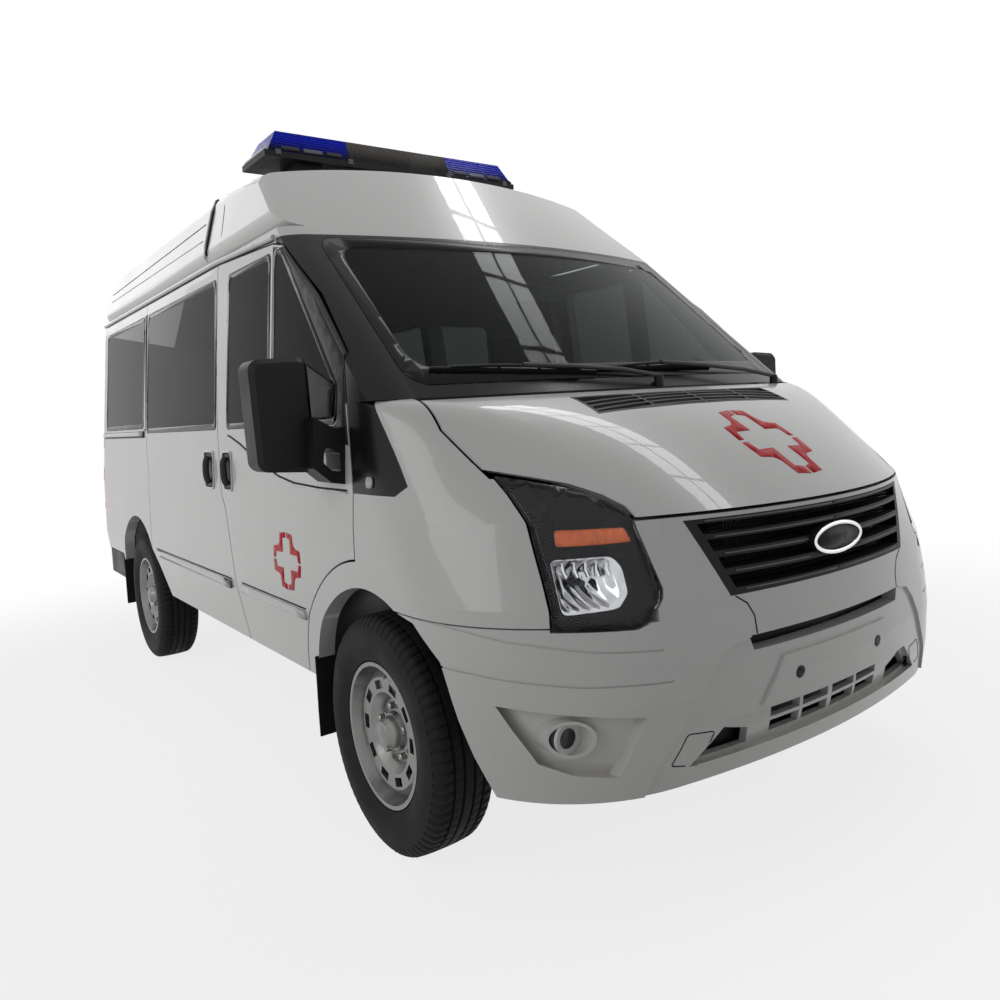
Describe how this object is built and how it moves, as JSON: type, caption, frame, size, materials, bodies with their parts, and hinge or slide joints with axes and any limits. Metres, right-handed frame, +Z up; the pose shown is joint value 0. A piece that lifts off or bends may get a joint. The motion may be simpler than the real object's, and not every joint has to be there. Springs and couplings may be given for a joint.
{
  "type": "ambulance van",
  "caption": "Short-wheelbase panel-van ambulance with raised roof, roof light bar, opening cab and rear doors, bonnet and steered front wheels.",
  "frame": {"origin": "on the ground at mid length on the centre line, at the centre of the bounding box's base", "axes": "+X to the vehicle's left, +Y to its rear (it faces -Y), +Z up"},
  "size_m": [2.408, 4.863, 2.577],
  "materials": {
    "white_paint": "gloss white",
    "tinted_glass": "dark tint",
    "clear_glass": "clear",
    "black_plastic": "grained black",
    "lamp_glass": "clear lens",
    "red_lens": "red lens",
    "blue_lens": "blue lens",
    "grey_plastic": "satin grey",
    "seat_cloth": "woven",
    "chassis_steel": "satin black",
    "cast_metal": "cast",
    "rubber": "moulded",
    "tyre": "rubber",
    "wheel_steel": "silver painted steel"
  },
  "bodies": {
    "van": {"arch_liners": "black_plastic", "body_side_left": "white_paint", "body_side_right": "white_paint", "bulkhead": "grey_plastic", "cab_seats": "seat_cloth", "chassis_frame": "chassis_steel", "dashboard": "grey_plastic", "engine": "cast_metal", "exhaust": "chassis_steel", "floor": "chassis_steel", "fog_lamps": "lamp_glass", "front_axle": "chassis_steel", "front_bumper": "white_paint", "front_wings": "white_paint", "fuel_tank": "chassis_steel", "grille": "black_plastic", "headlamps": "lamp_glass", "high_roof": "white_paint", "leaf_springs": "chassis_steel", "light_bar_base": "grey_plastic", "light_bar_centre": "lamp_glass", "light_bar_lenses": "blue_lens", "mud_flaps": "rubber", "propshaft": "chassis_steel", "radiator": "cast_metal", "rear_axle": "chassis_steel", "rear_bumper": "black_plastic", "side_glass": "tinted_glass", "sliding_door": "white_paint", "tail_lamps": "red_lens", "windscreen": "clear_glass", "windscreen_frame": "black_plastic"},
    "front_door_left": {"front_door_left": "white_paint", "front_door_glass_left": "tinted_glass", "mirror_left": "black_plastic"},
    "rear_door_left": {"rear_door_left": "white_paint", "rear_door_glass_left": "tinted_glass"},
    "knuckle_left": {"knuckle_left": "chassis_steel"},
    "wheel_front_left": {"rim_front_left": "wheel_steel", "tyre_front_left": "tyre"},
    "wheel_rear_left": {"rim_rear_left": "wheel_steel", "tyre_rear_left": "tyre"},
    "front_door_right": {"front_door_right": "white_paint", "front_door_glass_right": "tinted_glass", "mirror_right": "black_plastic"},
    "rear_door_right": {"rear_door_right": "white_paint", "rear_door_glass_right": "tinted_glass"},
    "knuckle_right": {"knuckle_right": "chassis_steel"},
    "wheel_front_right": {"rim_front_right": "wheel_steel", "tyre_front_right": "tyre"},
    "wheel_rear_right": {"rim_rear_right": "wheel_steel", "tyre_rear_right": "tyre"},
    "bonnet": {"bonnet": "white_paint", "bonnet_vent": "black_plastic"},
    "steering_wheel": {"steering_wheel": "black_plastic"}
  },
  "joints": [
    {"name": "front_door_left_hinge", "type": "hinge", "parent": "van", "child": "front_door_left", "pos_m": [0.985, -1.457, 1], "axis": [0, 0, -1], "range_deg": [0, 68]},
    {"name": "front_door_right_hinge", "type": "hinge", "parent": "van", "child": "front_door_right", "pos_m": [-0.985, -1.457, 1], "axis": [0, 0, 1], "range_deg": [0, 68]},
    {"name": "rear_door_left_hinge", "type": "hinge", "parent": "van", "child": "rear_door_left", "pos_m": [0.798, 2.406, 1.2], "axis": [0, 0, -1], "range_deg": [0, 180]},
    {"name": "rear_door_right_hinge", "type": "hinge", "parent": "van", "child": "rear_door_right", "pos_m": [-0.798, 2.406, 1.2], "axis": [0, 0, 1], "range_deg": [0, 180]},
    {"name": "bonnet_hinge", "type": "hinge", "parent": "van", "child": "bonnet", "pos_m": [0, -1.627, 1.33], "axis": [-1, 0, 0], "range_deg": [0, 50]},
    {"name": "steer_left", "type": "hinge", "parent": "van", "child": "knuckle_left", "pos_m": [0.79, -1.4985, 0.354], "axis": [0, 0, 1], "range_deg": [-35, 35]},
    {"name": "steer_right", "type": "hinge", "parent": "van", "child": "knuckle_right", "pos_m": [-0.79, -1.4985, 0.354], "axis": [0, 0, 1], "range_deg": [-35, 35]},
    {"name": "steering_wheel_turn", "type": "hinge", "parent": "van", "child": "steering_wheel", "pos_m": [0.43, -0.93, 1.11], "axis": [0, 0.722, 0.6919], "range_deg": [-595, 595]},
    {"name": "wheel_front_left_spin", "type": "hinge", "parent": "knuckle_left", "child": "wheel_front_left", "pos_m": [0.87, -1.4985, 0.354], "axis": [1, 0, 0], "continuous": true},
    {"name": "wheel_rear_left_spin", "type": "hinge", "parent": "van", "child": "wheel_rear_left", "pos_m": [0.87, 1.4345, 0.354], "axis": [1, 0, 0], "continuous": true},
    {"name": "wheel_front_right_spin", "type": "hinge", "parent": "knuckle_right", "child": "wheel_front_right", "pos_m": [-0.87, -1.4985, 0.354], "axis": [1, 0, 0], "continuous": true},
    {"name": "wheel_rear_right_spin", "type": "hinge", "parent": "van", "child": "wheel_rear_right", "pos_m": [-0.87, 1.4345, 0.354], "axis": [1, 0, 0], "continuous": true}
  ],
  "couplings": [
    {"joint": "steer_right", "follows": "steer_left", "ratio": 1},
    {"joint": "steering_wheel_turn", "follows": "steer_left", "ratio": 17}
  ]
}
